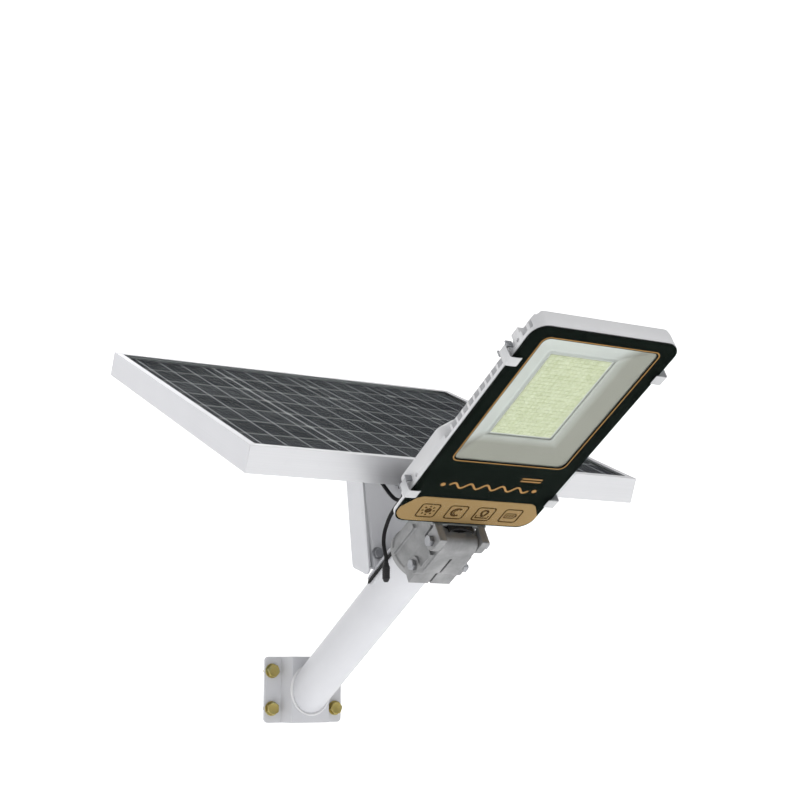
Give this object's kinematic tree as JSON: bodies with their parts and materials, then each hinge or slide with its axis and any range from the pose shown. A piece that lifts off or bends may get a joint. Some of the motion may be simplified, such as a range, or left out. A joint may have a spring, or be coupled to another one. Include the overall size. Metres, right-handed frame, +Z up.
{
  "type": "solar street lamp",
  "caption": "Arm-mounted solar street lamp: a bolted bracket and inclined tube carry a tilting framed solar panel and a tilting finned LED head with latched front glass.",
  "frame": {"origin": "centre of the bracket's four bolt pattern, on the plane of the flanges' rear faces", "axes": "+Z up; -Y outwards from the pole or wall, in the direction of the arm; +X to the right as seen from the front"},
  "size_m": [0.58, 0.8082, 0.5351],
  "materials": {
    "bracket_paint": "smooth white powder coat",
    "zinc": "yellow zinc plate",
    "bright_zinc": "bright zinc plate",
    "weld": "painted weld bead",
    "rubber": "matt black rubber",
    "cable": "black cable sheath",
    "cast_alloy": "bare die casting",
    "black_plastic": "moulded black plastic",
    "frame_alloy": "satin anodised",
    "solar_glass": "clear tempered glass",
    "cells": "dark silicon cells",
    "backsheet": "white backsheet",
    "galvanised": "galvanised sheet",
    "head_paint": "white powder coat on casting",
    "front_glass": "clear tempered glass",
    "black_print": "black screen print behind glass",
    "gold_print": "gold screen print",
    "bronze_print": "bronze label print",
    "satin_reflector": "satin reflector sheet",
    "white_board": "white solder mask",
    "led_phosphor": "yellow phosphor",
    "battery_wrap": "shrink wrap on cells",
    "green_board": "green circuit board",
    "clip_steel": "polished stainless"
  },
  "bodies": {
    "arm": {"wall_bracket": "bracket_paint", "wall_bolts": "zinc", "wall_washers": "zinc", "arm_tube": "bracket_paint", "weld_bead": "weld", "saddle_pad": "rubber", "strut_saddle": "bracket_paint", "saddle_screws": "bright_zinc", "panel_strut": "bracket_paint", "strut_bolts": "bright_zinc", "tilt_bolt": "bright_zinc", "cable_coupler": "black_plastic", "cable_clip": "black_plastic", "knuckle_sleeve": "cast_alloy", "pinch_bolt": "bright_zinc", "pivot_bolt": "bright_zinc", "tube_plug": "black_plastic", "panel_cable": "cable", "lamp_cable": "cable"},
    "panel": {"frame_front": "frame_alloy", "frame_rear": "frame_alloy", "frame_left": "frame_alloy", "frame_right": "frame_alloy", "corner_keys": "galvanised", "panel_glass": "solar_glass", "solar_cells": "cells", "backsheet": "backsheet", "junction_box": "black_plastic", "junction_lid": "black_plastic", "junction_gland": "black_plastic", "support_rails": "galvanised", "rail_bolts": "bright_zinc", "tilt_cradle": "galvanised", "cradle_bolts": "bright_zinc"},
    "head": {"head_housing": "head_paint", "rear_cover": "head_paint", "cover_screws": "bright_zinc", "neck_casting": "cast_alloy", "neck_screws": "bright_zinc", "neck_seal": "rubber", "glass_gasket": "rubber", "front_glass": "front_glass", "glass_mask": "black_print", "gold_line": "gold_print", "label_plate": "bronze_print", "reflector": "satin_reflector", "led_board": "white_board", "led_array": "led_phosphor", "battery_pack": "battery_wrap", "battery_strap": "black_plastic", "controller_board": "green_board", "cable_glands": "black_plastic", "tail_lead": "cable", "tail_connector": "black_plastic", "latch_pins": "bright_zinc"},
    "clip_upper_left": {"clip_upper_left": "clip_steel"},
    "clip_upper_right": {"clip_upper_right": "clip_steel"},
    "clip_lower_left": {"clip_lower_left": "clip_steel"},
    "clip_lower_right": {"clip_lower_right": "clip_steel"}
  },
  "joints": [
    {"name": "panel_tilt", "type": "hinge", "parent": "arm", "child": "panel", "pos_m": [0, -0.24274, 0.30018], "axis": [-1, 0, 0], "range_deg": [0, 20], "deforming": ["panel_cable"]},
    {"name": "head_tilt", "type": "hinge", "parent": "arm", "child": "head", "pos_m": [0, -0.42149, 0.18446], "axis": [1, 0, 0], "range_deg": [0, 25], "deforming": ["lamp_cable"]},
    {"name": "clip_upper_left_swing", "type": "hinge", "parent": "head", "child": "clip_upper_left", "pos_m": [-0.1085, -0.68858, 0.36984], "axis": [0, 0.866, -0.5], "range_deg": [0, 95]},
    {"name": "clip_upper_right_swing", "type": "hinge", "parent": "head", "child": "clip_upper_right", "pos_m": [0.1085, -0.68858, 0.36984], "axis": [0, -0.866, 0.5], "range_deg": [0, 95]},
    {"name": "clip_lower_left_swing", "type": "hinge", "parent": "head", "child": "clip_lower_left", "pos_m": [-0.1085, -0.47641, 0.24734], "axis": [0, 0.866, -0.5], "range_deg": [0, 95]},
    {"name": "clip_lower_right_swing", "type": "hinge", "parent": "head", "child": "clip_lower_right", "pos_m": [0.1085, -0.47641, 0.24734], "axis": [0, -0.866, 0.5], "range_deg": [0, 95]}
  ]
}
